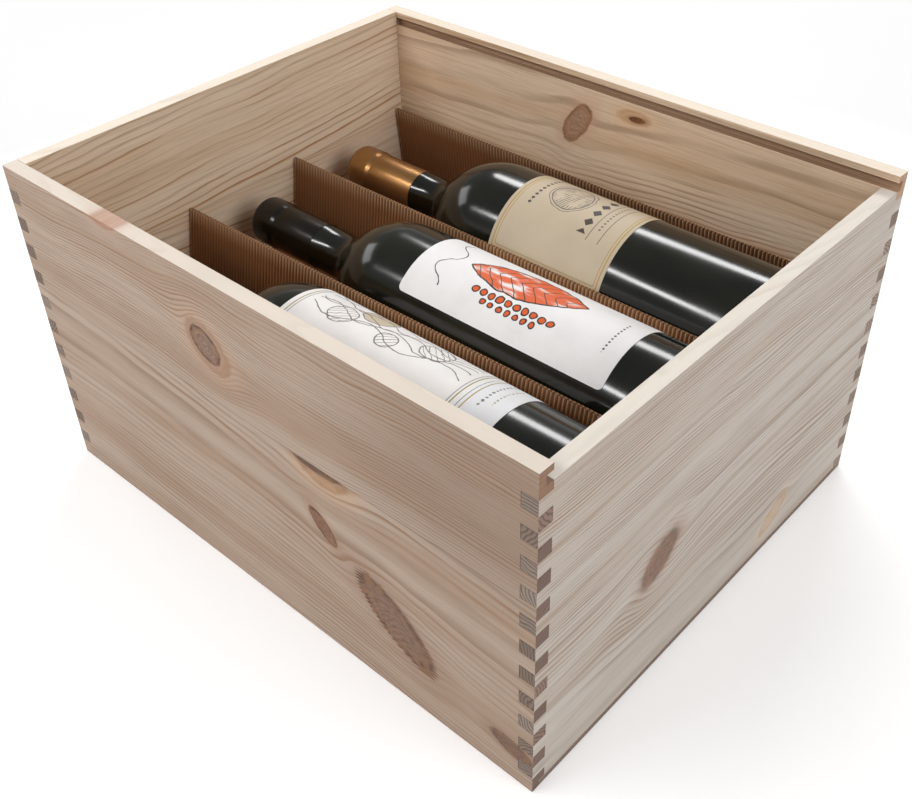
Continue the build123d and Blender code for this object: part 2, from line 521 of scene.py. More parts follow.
@dataclass(frozen=True)
class Pine:
    """Planed, untreated pine: growth rings that bend round knots, seen on the faces and on the end grain.

    Attributes:
        name: the finish's name.
        run: the axis of its grain.
        strips: the board's glued strips, from its foot up.
        pale: the lighter tone of its wood.
        warm: the warmer tone of its wood.
        late: the dark line that ends a year.
        contrast: how much the dark lines cover.
        seed: shifts the patterns, so that no two boards are alike.
        band: the tone of streaks along the board.
        banding: how much the streaks cover.
        onset: where in a year its dark line starts, 0 to 1.
        amber: the tone of the dark line in strong years.
        sawn: the two tones of its end grain.
        knots: its knots.
        darker_zone: its soft, darker zone.
        outer_tone: the tone of its outer face, greyer than the painted light of its inner face.
    """

    name: str
    run: Run
    strips: tuple[Strip, ...]
    pale: Colour
    warm: Colour
    late: Colour
    contrast: float
    seed: float
    band: Colour
    banding: float = 0.5
    onset: float = 0.45
    amber: Colour = srgb(176, 124, 76)
    sawn: tuple[Colour, Colour] = (srgb(166, 150, 138), srgb(138, 120, 108))
    knots: tuple[Knot, ...] = ()
    darker_zone: DarkerZone | None = None
    outer_tone: OuterTone | None = None

    WAVE: ClassVar[Pattern] = Pattern((0.006, 0.012, 0.02))
    WAVE_SIZE: ClassVar[float] = 16.0
    RIPPLE: ClassVar[Pattern] = Pattern((0.03, 0.09, 0.09))
    RIPPLE_SIZE: ClassVar[float] = 2.6
    UNEVEN_YEARS: ClassVar[Pattern] = Pattern((0.06, 1.0, 1.0), detail=1.0)
    UNEVEN_YEARS_SIZE: ClassVar[float] = 9.0
    LINE_FULL: ClassVar[float] = 0.9
    LINE_CLOSE: ClassVar[Point] = (1.0, 0.95)
    PATCHES: ClassVar[Pattern] = Pattern((0.01, 0.05, 0.05), low=0.35, high=0.62)
    FIBRE: ClassVar[Pattern] = Pattern((0.03, 2.2, 2.2), low=0.4, high=0.85, share=0.5, detail=3.0,
                                       roughness=0.65)
    CLOUDS: ClassVar[Pattern] = Pattern((0.003, 0.045, 1.0), low=0.35, high=0.7)
    STREAKS: ClassVar[Pattern] = Pattern((0.002, 0.16, 1.0), low=0.5, high=0.74)
    STREAKS_SHIFT: ClassVar[float] = 40.0
    GLUE: ClassVar[tuple[float, float, float]] = (0.1, 0.3, 0.4)
    END_SWAY: ClassVar[Pattern] = Pattern((0.12, 0.12, 9.0), detail=1.0)
    END_SWAY_SIZE: ClassVar[float] = 5.0
    END_SPACING: ClassVar[float] = 1.9
    SPECKS: ClassVar[Pattern] = Pattern((1.5, 1.5, 1.5), low=0.4, high=0.8, share=0.3, detail=3.0,
                                        roughness=0.7)

    def strip_rings(self, graph: Graph, strip: Strip, along: Socket, height: Socket, depth: Socket) -> Socket:
        """Measure how far a point lies from a strip's pith, counted in growth rings.

        Args:
            graph: the material's nodes.
            strip: the strip.
            along: the coordinate along the board.
            height: the height, already bent round the knots and waved.
            depth: the coordinate across the board.

        Returns:
            The ring count's socket.
        """
        above = graph.ramp(along, strip.fall, graph.minus(height, strip.pith_height))
        far = graph.far(above, graph.minus(depth, strip.pith_depth))
        uneven = graph.noise((far, self.seed + strip.top, 0.0), self.UNEVEN_YEARS)
        return graph.math("DIVIDE", graph.ramp(uneven, self.UNEVEN_YEARS_SIZE, far), strip.spacing)

    def rings(self, graph: Graph, place: Sequence[Socket], height: Socket) -> Socket:
        """Count the growth rings from the pith of the strip that a point lies in.

        Args:
            graph: the material's nodes.
            place: coordinates in millimetres.
            height: the height, already bent round the knots.

        Returns:
            The ring count's socket.
        """
        along, depth = (place[index] for index in self.run.value)
        wave = graph.sway(graph.noise((along, height, depth), self.WAVE), self.WAVE_SIZE)
        ripple = graph.sway(graph.noise((along, height, depth), self.RIPPLE), self.RIPPLE_SIZE)
        waved = graph.plus(height, graph.plus(wave, ripple))
        count = self.strip_rings(graph, self.strips[0], along, waved, depth)
        for below, strip in zip(self.strips, self.strips[1:]):
            own = self.strip_rings(graph, strip, along, waved, depth)
            above = graph.math("GREATER_THAN", place[2], below.top)
            count = graph.ramp(above, graph.minus(own, count), count)
        return count

    def years(self, graph: Graph, colour: Socket, place: Sequence[Socket], height: Socket) -> Socket:
        """Draw the dark line that ends each year, stronger in some years and patches.

        Args:
            graph: the material's nodes.
            colour: the wood's colour.
            place: coordinates in millimetres.
            height: the height, already bent round the knots.

        Returns:
            The new colour.
        """
        along, depth = (place[index] for index in self.run.value)
        count = self.rings(graph, place, height)
        ring = graph.math("FRACT", count)
        line = graph.times(graph.step(ring, self.onset, self.LINE_FULL), graph.step(ring, *self.LINE_CLOSE))
        line = graph.times(line, graph.raised(graph.spots((along, height, depth), self.PATCHES), 0.25))
        strong = graph.math("POWER", graph.chance(graph.math("FLOOR", count)), 2.0)
        line = graph.times(line, graph.raised(strong, 0.4))
        tone = graph.mix(strong, self.late, self.amber)
        return graph.mix(graph.times(line, self.contrast), colour, tone)

    def face(self, cut: PaintedLight = PaintedLight.PLANED) -> bpy.types.Material:
        """Make the finish of the faces along the grain.

        Args:
            cut: the side's painted tone, painted light on the top edges and painted shade in the groove.

        Returns:
            The material.
        """
        graph = Graph.finish(self.name + ("" if cut is PaintedLight.PLANED else "_" + cut.name.lower()))
        place = graph.axes()
        along, depth = (place[index] for index in self.run.value)
        height = place[2]
        spread = []
        for knot in self.knots:
            push, far, within = knot.bend(graph, along, place[2])
            height = graph.minus(height, push)
            spread.append((knot, far, within))
        colour = graph.mix(graph.spots((along, height, self.seed), self.CLOUDS), self.pale, self.warm)
        streaks = graph.spots((along, height, self.seed + self.STREAKS_SHIFT), self.STREAKS)
        colour = graph.mix(graph.times(streaks, self.banding), colour, self.band)
        # the outer face gets the greyer tone; the inner face keeps the board's paler colours as painted light
        # inside the box
        if self.outer_tone:
            colour = self.outer_tone.lay(graph, colour, depth)
        if self.darker_zone:
            colour = self.darker_zone.lay(graph, colour, along, place[2])
        colour = self.years(graph, colour, place, height)
        fibre = graph.noise((along, place[2], depth), self.FIBRE)
        colour = graph.mix(graph.mask(fibre, self.FIBRE), colour, self.late)
        # the side's painted tone: painted light on the top edges, painted shade in the groove
        cover, painted_tone = cut.value
        colour = graph.mix(cover, colour, painted_tone)
        mottle = graph.spots((along, place[2], self.seed), Knot.MOTTLE)
        notches = graph.math("FRACT", graph.times(place[2], Knot.NOTCHES))
        for knot, far, within in spread:
            colour = knot.draw(graph, colour, (along, place[2]), far, within, mottle, notches, self.amber)
        half, soft, share = self.GLUE
        for strip in self.strips[:-1]:
            glue = graph.band(place[2], strip.top, half, soft)
            colour = graph.mix(graph.times(glue, share), colour, shaded(self.late, 0.5))
        return graph.surface({"Base Color": colour, "Roughness": 0.62, "Specular IOR Level": 0.3,
                              "Normal": graph.bump(fibre, 0.06)})

    def end(self, finger: float, foot: float) -> bpy.types.Material:
        """Make the finish of the sawn ends, where each joint finger shows a cut of the rings of its own.

        Args:
            finger: a finger's height in millimetres.
            foot: the height where the lowest finger starts.

        Returns:
            The material.
        """
        graph = Graph.finish(self.name + "_end")
        place = graph.axes()
        across = place[self.run.value[1]]
        side = graph.math("SIGN", place[self.run.value[0]])
        fingers = graph.math("DIVIDE", graph.minus(place[2], foot), finger)
        number = graph.plus(graph.math("FLOOR", fingers), self.seed + 3.1)
        chance = graph.chance(graph.ramp(side, 31.7, number))
        turn = graph.times(chance, math.pi)
        turned = graph.plus(graph.times(across, graph.math("COSINE", turn)),
                            graph.times(place[2], graph.math("SINE", turn)))
        sway = graph.noise((across, place[2], chance), self.END_SWAY)
        far = graph.ramp(sway, self.END_SWAY_SIZE, turned)
        ring = graph.math("FRACT", graph.math("DIVIDE", far, self.END_SPACING))
        line = graph.times(graph.step(ring, 0.35, 0.75), graph.step(ring, 1.0, 0.9))
        colour = graph.mix(graph.times(line, 0.62), graph.mix(chance, *self.sawn), srgb(84, 70, 62))
        specks = graph.noise(place, self.SPECKS)
        colour = graph.mix(graph.mask(specks, self.SPECKS), colour, srgb(90, 74, 64))
        seam = graph.step(graph.math("FRACT", fingers), 0.94, 0.99)
        colour = graph.mix(graph.times(seam, 0.6), colour, srgb(60, 46, 38))
        return graph.surface({"Base Color": colour, "Roughness": 0.8, "Specular IOR Level": 0.2,
                              "Normal": graph.bump(specks, 0.1)})


BOARD_TOP = 400.0
FRONT_PINE = Pine(
    "pine_front", Run.X,
    strips=(Strip(124.9, pith_height=96.0, pith_depth=-190.0, fall=0.05, spacing=2.9),
            Strip(BOARD_TOP, pith_height=330.0, pith_depth=-160.0, fall=-0.03, spacing=2.1)),
    pale=srgb(192, 171, 154), warm=srgb(177, 151, 130), late=srgb(112, 83, 60), contrast=0.95, seed=1.0,
    band=srgb(170, 138, 110), banding=0.3, onset=0.4, amber=srgb(150, 108, 70),
    sawn=(srgb(146, 122, 110), srgb(118, 96, 86)),
    knots=(
        Knot(-18.6, 158.4, 16.5, 12.0, -34.0, srgb(186, 150, 122), srgb(150, 112, 84), reach=1.7,
             strength=0.7, soft=0.14),
        Knot(-20.4, 159.2, 11.5, 8.4, -36.0, srgb(160, 130, 112), srgb(92, 64, 50), reach=0.9),
        Knot(55.0, 124.9, 17.5, 10.5, 0.0, srgb(196, 158, 122), srgb(168, 128, 94), reach=1.7, strength=0.8,
             teeth=0.05, ceiling=124.9, soft=0.16),
        Knot(51.5, 124.9, 16.0, 3.4, 0.0, srgb(116, 88, 72), srgb(78, 54, 42), reach=0.6, teeth=0.05,
             ceiling=124.9, soft=0.2),
        Knot(50.8, 86.6, 11.5, 5.0, -47.0, srgb(150, 110, 86), srgb(84, 54, 42), reach=2.0),
        Knot(96.2, 52.6, 32.0, 13.0, -39.5, srgb(146, 118, 100), srgb(98, 68, 52), reach=1.6, teeth=0.16),
        Knot(167.5, 23.0, 13.0, 5.5, -14.0, srgb(130, 100, 82), srgb(88, 62, 48), reach=1.8, strength=0.9,
             teeth=0.08, soft=0.2),
        Knot(-90.0, 200.5, 11.0, 4.5, 0.0, srgb(190, 146, 122), srgb(160, 104, 80), reach=1.5, strength=0.62,
             soft=0.3)),
    # a soft zone that is darker towards the upper right of the front face
    darker_zone=DarkerZone(160.0, 166.0, 90.0, 44.0, srgb(160, 136, 118)))
# painted light: the back wall's pale colours make its inner face paler than the front, as if lit from above;
# its outer face gets the greyer tone
BACK_PINE = Pine(
    "pine_back", Run.X,
    strips=(Strip(118.0, pith_height=60.0, pith_depth=190.0, fall=0.06, spacing=2.8),
            Strip(BOARD_TOP, pith_height=176.0, pith_depth=196.0, fall=-0.05, spacing=2.3)),
    pale=srgb(232, 206, 178), warm=srgb(216, 184, 150), late=srgb(128, 90, 58), contrast=1.0, seed=9.0,
    band=srgb(192, 152, 114), banding=0.35, amber=srgb(168, 118, 74),
    knots=(
        Knot(-20.1, 166.4, 15.6, 7.2, 56.0, srgb(186, 148, 120), srgb(140, 102, 78), reach=2.4),
        Knot(20.5, 181.9, 12.0, 4.4, 4.0, srgb(206, 164, 118), srgb(186, 140, 96), reach=2.0, strength=0.6,
             soft=0.25),
        Knot(22.8, 181.2, 5.6, 1.8, 4.0, srgb(132, 88, 58), srgb(96, 60, 40), reach=1.2)),
    outer_tone=OuterTone(145.0, srgb(184, 162, 144)))
# painted light: the left wall's pale colours make its inner face paler, as if lit from above; its outer face
# gets the greyer tone
LEFT_PINE = Pine(
    "pine_left", Run.Y,
    strips=(Strip(128.0, pith_height=40.0, pith_depth=-215.0, fall=0.05, spacing=4.2),
            Strip(BOARD_TOP, pith_height=78.0, pith_depth=-212.0, fall=-0.05, spacing=4.6)),
    pale=srgb(234, 212, 186), warm=srgb(220, 191, 160), late=srgb(150, 108, 74), contrast=1.0, seed=17.0,
    band=srgb(200, 164, 130), banding=0.3, onset=0.6, amber=srgb(176, 120, 70),
    outer_tone=OuterTone(179.5, srgb(184, 162, 144)))
RIGHT_PINE = Pine(
    "pine_right", Run.Y,
    strips=(Strip(102.0, pith_height=20.0, pith_depth=122.0, fall=0.05, spacing=2.3),
            Strip(BOARD_TOP, pith_height=300.0, pith_depth=150.0, fall=0.04, spacing=1.9)),
    pale=srgb(194, 185, 176), warm=srgb(184, 171, 159), late=srgb(104, 84, 68), contrast=1.0, seed=25.0,
    band=srgb(156, 134, 112), banding=0.65, onset=0.4, amber=srgb(146, 110, 78),
    knots=(
        Knot(-54.5, 81.7, 16.4, 9.4, 39.5, srgb(138, 108, 92), srgb(92, 69, 55), reach=2.2, strength=0.95,
             teeth=0.05, soft=0.28),
        Knot(62.0, 22.0, 15.0, 7.0, 35.0, srgb(196, 170, 138), srgb(172, 142, 112), reach=1.6, strength=0.5)))
PANEL_PINE = Pine(
    "pine_panel", Run.X,
    strips=(Strip(BOARD_TOP, pith_height=-60.0, pith_depth=20.0, fall=0.02, spacing=2.4),),
    pale=srgb(142, 124, 112), warm=srgb(132, 114, 100), late=srgb(96, 78, 66), contrast=0.5, seed=33.0,
    band=srgb(120, 100, 86))


@dataclass(frozen=True)
class Kraft:
    """Brown kraft board, matt, with fine fibres, with painted shade in the flutes and painted light along its
    upper edge.

    Attributes:
        name: the finish's name.
        base: the board's colour.
        fleck: the colour of its fibres.
        pale: the colour of the painted light along its upper edge.
        shade: the painted shade in the flutes.
        top_light: the heights between which the painted light along its upper edge comes in, in millimetres.
        rib_pitch: the distance between two flutes.
        rib_start: how far before the box's middle the first flute lies.
    """

    name: str = "kraft_board"
    base: Colour = srgb(160, 109, 69)
    fleck: Colour = srgb(112, 73, 44)
    pale: Colour = srgb(232, 190, 150)
    shade: Colour = srgb(84, 52, 30)
    top_light: Point = (122.0, 136.0)
    rib_pitch: float = 341.4 / 136
    rib_start: float = 341.4 / 2

    FIBRE: ClassVar[Pattern] = Pattern((0.5, 2.5, 1.0), low=0.45, high=0.8, share=0.5, detail=4.0,
                                       roughness=0.7)
    CLOUDS: ClassVar[Pattern] = Pattern((0.02, 0.05, 0.03), low=0.3, high=0.8)

    def make(self) -> bpy.types.Material:
        """Make the finish.

        Returns:
            The material.
        """
        graph = Graph.finish(self.name)
        place = graph.axes()
        colour = graph.mix(graph.spots(place, self.CLOUDS), self.base, shaded(self.base, 0.86))
        fibre = graph.noise(place, self.FIBRE)
        colour = graph.mix(graph.mask(fibre, self.FIBRE), colour, self.fleck)
        # painted light: paler towards the upper edge, standing in for the light that falls on it
        top_light = graph.step(place[2], *self.top_light)
        colour = graph.mix(graph.times(top_light, 0.6), colour, self.pale)
        # painted shade in the flutes, stronger towards the upper edge
        wave = graph.times(graph.plus(place[0], self.rib_start), math.tau / self.rib_pitch)
        flute = graph.ramp(graph.math("COSINE", wave), 0.5, 0.5)
        colour = graph.mix(graph.times(flute, graph.ramp(top_light, 0.45, 0.42)), colour, self.shade)
        return graph.surface({"Base Color": colour, "Roughness": 0.85, "Specular IOR Level": 0.2,
                              "Normal": graph.bump(fibre, 0.05)})


@dataclass(frozen=True)
class Gloss:
    """A smooth finish of two near colours: bottle glass, capsule foil.

    Attributes:
        name: the finish's name.
        base: its colour.
        second: its other colour, in soft clouds.
        roughness: how matt it is.
        metallic: 1 for bare metal.
        ior: how strongly it mirrors.
        relief: the depth of its waves in millimetres.
        waves: waves per millimetre along each axis.
    """

    name: str
    base: Colour
    second: Colour
    roughness: float
    metallic: float = 0.0
    ior: float = 1.5
    relief: float = 0.05
    waves: Point3 = (0.03, 0.05, 0.05)

    CLOUDS: ClassVar[Pattern] = Pattern((0.02, 0.04, 0.04), low=0.35, high=0.7)
    SMUDGE: ClassVar[tuple[float, float, float]] = (0.3, 0.8, 0.05)

    def make(self) -> bpy.types.Material:
        """Make the finish.

        Returns:
            The material.
        """
        graph = Graph.finish(self.name)
        place = graph.axes()
        waves = graph.noise(place, Pattern(self.waves))
        clouds = graph.noise(place, self.CLOUDS)
        colour = graph.mix(graph.mask(clouds, self.CLOUDS), self.base, self.second)
        low, high, depth = self.SMUDGE
        smudged = graph.ramp(graph.step(clouds, low, high), depth, self.roughness)
        return graph.surface({"Base Color": colour, "Metallic": self.metallic, "Roughness": smudged,
                              "IOR": self.ior, "Normal": graph.bump(waves, self.relief)})


class Motif(Enum):
    """The generic design printed on a label."""

    LOOPS = "loops"
    LEAF = "leaf"
    MEDALLION = "medallion"
    ROWS = "rows"


@dataclass(frozen=True)
class Label:
    """Uncoated paper with a generic printed design; its UV map holds millimetres from the label's middle.

    U runs round the bottle and V along it.

    Attributes:
        name: the finish's name.
        motif: the design.
        half_length: half of the label's length along the bottle.
        half_height: half of its width round the bottle.
        paper: the paper's colour.
    """

    name: str
    motif: Motif
    half_length: float
    half_height: float
    paper: Colour

    SHAKE: ClassVar[Pattern] = Pattern((0.12, 0.12, 1.0))
    SHAKE_SIZE: ClassVar[float] = 3.0
    MOTTLE: ClassVar[Pattern] = Pattern((0.06, 0.06, 1.0), low=0.35, high=0.8, detail=3.0)
    FIBRE: ClassVar[Pattern] = Pattern((1.2, 1.2, 1.0), detail=3.0)
    WASH: ClassVar[Pattern] = Pattern((0.2, 0.05, 1.0), low=0.3, high=0.5)
    SHADE: ClassVar[Pattern] = Pattern((0.16, 0.16, 1.0), low=0.35, high=0.6)
    CORNER: ClassVar[float] = 2.5
    WHOLE_PITCHES: ClassVar[int] = 40

    def outline(self, graph: Graph, place: Sequence[Socket], inset: float, half: float) -> Socket:
        """Draw a line that follows the label's edge.

        Args:
            graph: the material's nodes.
            place: U and V.
            inset: how far the line lies inside the edge.
            half: half of the line's width.

        Returns:
            The line's mask.
        """
        across = graph.minus(graph.math("ABSOLUTE", place[0]), self.half_height - inset)
        along = graph.minus(graph.math("ABSOLUTE", place[1]), self.half_length - inset)
        return graph.band(graph.math("SMOOTH_MAX", across, along, self.CORNER), 0.0, half)

    def ring(self, graph: Graph, place: Sequence[Socket], centre: Point, radius: float,
             half: float) -> Socket:
        """Draw a ring, or a disc where its radius is 0.

        Args:
            graph: the material's nodes.
            place: U and V.
            centre: the ring's middle.
            radius: its radius.
            half: half of the line's width.

        Returns:
            The ring's mask.
        """
        far = graph.far(graph.minus(place[0], centre[0]), graph.minus(place[1], centre[1]))
        return graph.band(far, radius, half)

    def curve(self, graph: Graph, place: Sequence[Socket], height: float, swing: float, length: float,
              start: float, half: float) -> Socket:
        """Draw a waving line across the label.

        Args:
            graph: the material's nodes.
            place: U and V.
            height: where along V the line lies.
            swing: how far it waves.
            length: the length of a wave.
            start: where the wave starts.
            half: half of the line's width.

        Returns:
            The line's mask.
        """
        wave = graph.math("SINE", graph.ramp(place[0], math.tau / length, start))
        return graph.band(graph.ramp(wave, -swing, place[1]), height, half)

    def diamonds(self, graph: Graph, place: Sequence[Socket], height: float, pitch: float, size: float,
                 reach: Point) -> Socket:
        """Draw a row of small diamonds across the label.

        Args:
            graph: the material's nodes.
            place: U and V.
            height: where along V the row lies.
            pitch: the distance between two of them.
            size: half of a diamond's width.
            reach: the middle of the row and half of its length.

        Returns:
            The row's mask.
        """
        cell = graph.math("PINGPONG", graph.plus(place[0], self.WHOLE_PITCHES * pitch), pitch / 2)
        aside = graph.math("ABSOLUTE", graph.minus(place[1], height))
        shape = graph.step(graph.plus(cell, aside), size + 0.15, size)
        return graph.times(shape, graph.band(place[0], *reach))

    def hatching(self, graph: Graph, value: Socket, gap: float, half: float) -> Socket:
        """Draw parallel lines where a value passes whole steps of twice the gap."""
        return graph.band(graph.math("PINGPONG", value, gap), 0.0, half)

    def make(self) -> bpy.types.Material:
        """Make the finish with its design.

        Returns:
            The material.
        """
        graph = Graph.finish(self.name)
        place = graph.uv()
        drawn = [graph.plus(graph.sway(graph.noise((*place, shift), self.SHAKE), self.SHAKE_SIZE), axis)
                 for shift, axis in zip((0.0, 7.0), place)]
        colour = graph.mix(graph.spots((*place, 3.0), self.MOTTLE), self.paper, shaded(self.paper, 0.93))
        design = {Motif.LOOPS: self.loops, Motif.LEAF: self.leaf, Motif.MEDALLION: self.medallion,
                  Motif.ROWS: self.rows}[self.motif]
        for mask, ink in design(graph, place, drawn):
            colour = graph.mix(mask, colour, ink)
        fibre = graph.noise((*place, 1.0), self.FIBRE)
        return graph.surface({"Base Color": colour, "Roughness": 0.55, "Specular IOR Level": 0.35,
                              "Normal": graph.bump(fibre, 0.02)})

    def loops(self, graph: Graph, place: Sequence[Socket], drawn: Sequence[Socket]) -> list[Layer]:
        """Draw looping lines along the bottle, a pale disc, hatched patches and a double border.

        Args:
            graph: the material's nodes.
            place: U and V.
            drawn: U and V with the shake of a hand.

        Returns:
            Pairs of mask and ink.
        """
        grey = srgb(120, 110, 108)
        disc = (18.0, 16.0)
        rising = self.hatching(graph, graph.plus(*drawn), 1.7, 0.22)
        falling = self.hatching(graph, graph.minus(*drawn), 2.1, 0.2)
        layers = [(self.ring(graph, drawn, disc, 0.0, 9.0), srgb(204, 190, 164)),
                  (self.ring(graph, drawn, disc, 9.5, 0.3), grey),
                  (self.outline(graph, place, 3.2, 0.3), srgb(150, 138, 84)),
                  (self.outline(graph, place, 5.0, 0.22), srgb(150, 146, 150))]
        turned = (drawn[1], drawn[0])
        within = graph.band(place[1], 0.0, 50.0)
        for index in range(5):
            swing = 4.5 - 0.5 * index
            length = 48.0 - 6.0 * index
            loop = self.curve(graph, turned, 2.0 + 5.0 * index, swing, length, 1.7 * index, 0.3)
            layers.append((graph.times(loop, within), grey))
        for centre, radius, lines in (((4.0, 30.0), 8.0, rising), ((13.0, -26.0), 9.0, falling),
                                      ((2.0, -2.0), 6.0, rising)):
            patch = self.ring(graph, drawn, centre, 0.0, radius)
            layers.append((graph.times(patch, lines), grey))
            layers.append((self.ring(graph, drawn, centre, radius, 0.28), grey))
        return layers

    def leaf(self, graph: Graph, place: Sequence[Socket], drawn: Sequence[Socket]) -> list[Layer]:
        """Draw a large orange leaf with dark veins, rows of berries beside it, a flourish and diamonds.

        Args:
            graph: the material's nodes.
            place: U and V.
            drawn: U and V with the shake of a hand.

        Returns:
            Pairs of mask and ink.
        """
        orange = srgb(222, 96, 42)
        ink = srgb(58, 50, 46)
        bow = 60.0
        centres = ((-56.0, -2.0), (40.0, 8.0))
        sides = [self.ring(graph, drawn, centre, 0.0, bow) for centre in centres]
        rims = [self.ring(graph, drawn, centre, bow, 0.4) for centre in centres]
        blade = graph.times(*sides)
        layers = [(graph.times(blade, graph.spots((*drawn, 2.0), self.WASH)), orange)]
        layers += [(graph.times(rim, side), ink) for rim, side in zip(rims, reversed(sides))]
        from_midrib = graph.math("ABSOLUTE", graph.plus(drawn[0], 8.0))
        veins = self.hatching(graph, graph.plus(drawn[1], from_midrib), 3.6, 0.3)
        layers.append((graph.times(veins, blade), ink))
        berry_pitch = 5.4
        for across, radius, shift, reach in ((-24.5, 2.0, 0.0, 27.0), (-29.5, 1.6, 0.5, 18.9)):
            cell = graph.math("FRACT", graph.ramp(drawn[1], 1 / berry_pitch, 20.0 + shift))
            spot = (graph.minus(drawn[0], across), graph.sway(cell, berry_pitch))
            row = graph.band(drawn[1], 0.0, reach)
            layers.append((graph.times(self.ring(graph, spot, (0.0, 0.0), 0.0, radius), row), orange))
            layers.append((graph.times(self.ring(graph, spot, (0.0, 0.0), radius, 0.34), row), ink))
        flourish = self.curve(graph, drawn, 50.0, 5.0, 24.0, 0.6, 0.36)
        layers.append((graph.times(flourish, graph.band(place[0], -12.0, 20.0)), ink))
        layers.append((self.diamonds(graph, place, -56.0, 2.4, 0.7, (-14.0, 12.0)), ink))
        return layers

    def medallion(self, graph: Graph, place: Sequence[Socket], drawn: Sequence[Socket]) -> list[Layer]:
        """Draw a double gold border, a hatched medallion, rows of diamonds and rules.

        Args:
            graph: the material's nodes.
            place: U and V.
            drawn: U and V with the shake of a hand.

        Returns:
            Pairs of mask and ink.
        """
        gold = srgb(176, 146, 84)
        grey = srgb(112, 104, 94)
        ink = srgb(70, 62, 56)
        middle = (6.0, 8.0)
        disc = self.ring(graph, drawn, middle, 0.0, 11.5)
        lines = self.hatching(graph, graph.ramp(drawn[0], 0.35, drawn[1]), 0.9, 0.28)
        lines = graph.times(lines, graph.spots((*drawn, 5.0), self.SHADE))
        layers = [(self.outline(graph, place, 2.4, 0.35), gold), (self.outline(graph, place, 4.2, 0.2), gold),
                  (graph.times(disc, lines), grey),
                  (self.ring(graph, drawn, middle, 12.2, 0.35), grey),
                  (self.ring(graph, drawn, middle, 14.0, 0.2), grey),
                  (self.diamonds(graph, place, -13.0, 8.0, 3.0, (4.0, 20.0)), ink),
                  (self.diamonds(graph, place, -22.0, 2.6, 0.8, (4.0, 15.0)), grey),
                  (self.diamonds(graph, place, 27.0, 3.4, 1.2, (6.0, 18.0)), ink)]
        across = graph.band(place[0], 4.0, 23.0)
        for height in (-18.2, -26.0):
            layers.append((graph.times(graph.band(place[1], height, 0.2), across), grey))
        return layers

    def rows(self, graph: Graph, place: Sequence[Socket], drawn: Sequence[Socket]) -> list[Layer]:
        """Draw a thin gold line and rows of small diamonds.

        Args:
            graph: the material's nodes.
            place: U and V.
            drawn: U and V with the shake of a hand.

        Returns:
            Pairs of mask and ink.
        """
        edge = graph.band(place[1], self.half_length - 2.2, 0.3)
        return [(edge, srgb(170, 150, 90)),
                (self.diamonds(graph, drawn, 3.0, 2.6, 0.8, (10.0, 16.0)), srgb(120, 114, 108)),
                (self.diamonds(graph, drawn, -2.5, 2.2, 0.6, (10.0, 12.0)), srgb(150, 138, 84))]


def shown(name: str, mesh: bmesh.types.BMesh, materials: Sequence[bpy.types.Material],
          node: str) -> bpy.types.Object:
    """Turn a finished mesh into a piece that stands for a CAD node.

    Args:
        name: the piece's name.
        mesh: its mesh, in place, which is freed.
        materials: its finishes.
        node: the node that it stands for.

    Returns:
        The new object.
    """
    bmesh.ops.recalc_face_normals(mesh, faces=mesh.faces)
    data = bpy.data.meshes.new(name)
    mesh.to_mesh(data)
    mesh.free()
    for material in materials:
        data.materials.append(material)
    piece = bpy.data.objects.new(name, data)
    bpy.context.scene.collection.objects.link(piece)
    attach(piece, "root")
    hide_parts(node)
    LOG.info("%s: %d faces", name, len(data.polygons))
    return piece


def merged_copy(node: str) -> bmesh.types.BMesh:
    """Copy a CAD node's mesh with its loose triangles joined.

    Args:
        node: the node's name.

    Returns:
        The copy.
    """
    mesh = bmesh.new()
    mesh.from_mesh(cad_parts[node].data)
    bmesh.ops.remove_doubles(mesh, verts=mesh.verts, dist=0.002 * MM)
    return mesh


def smooth_up_to(mesh: bmesh.types.BMesh, angle: float) -> None:
    """Shade a mesh smooth, except over its edges that are sharper than an angle.

    Args:
        mesh: the mesh.
        angle: the angle in degrees.
    """
    for face in mesh.faces:
        face.smooth = True
    for edge in mesh.edges:
        edge.smooth = len(edge.link_faces) == 2 and edge.calc_face_angle(0.0) < math.radians(angle)


class Side(IntEnum):
    """The sides of a board that have a finish of their own, in the order of its materials."""

    FACE = 0
    END = 1
    TOP = 2
    GROOVE = 3


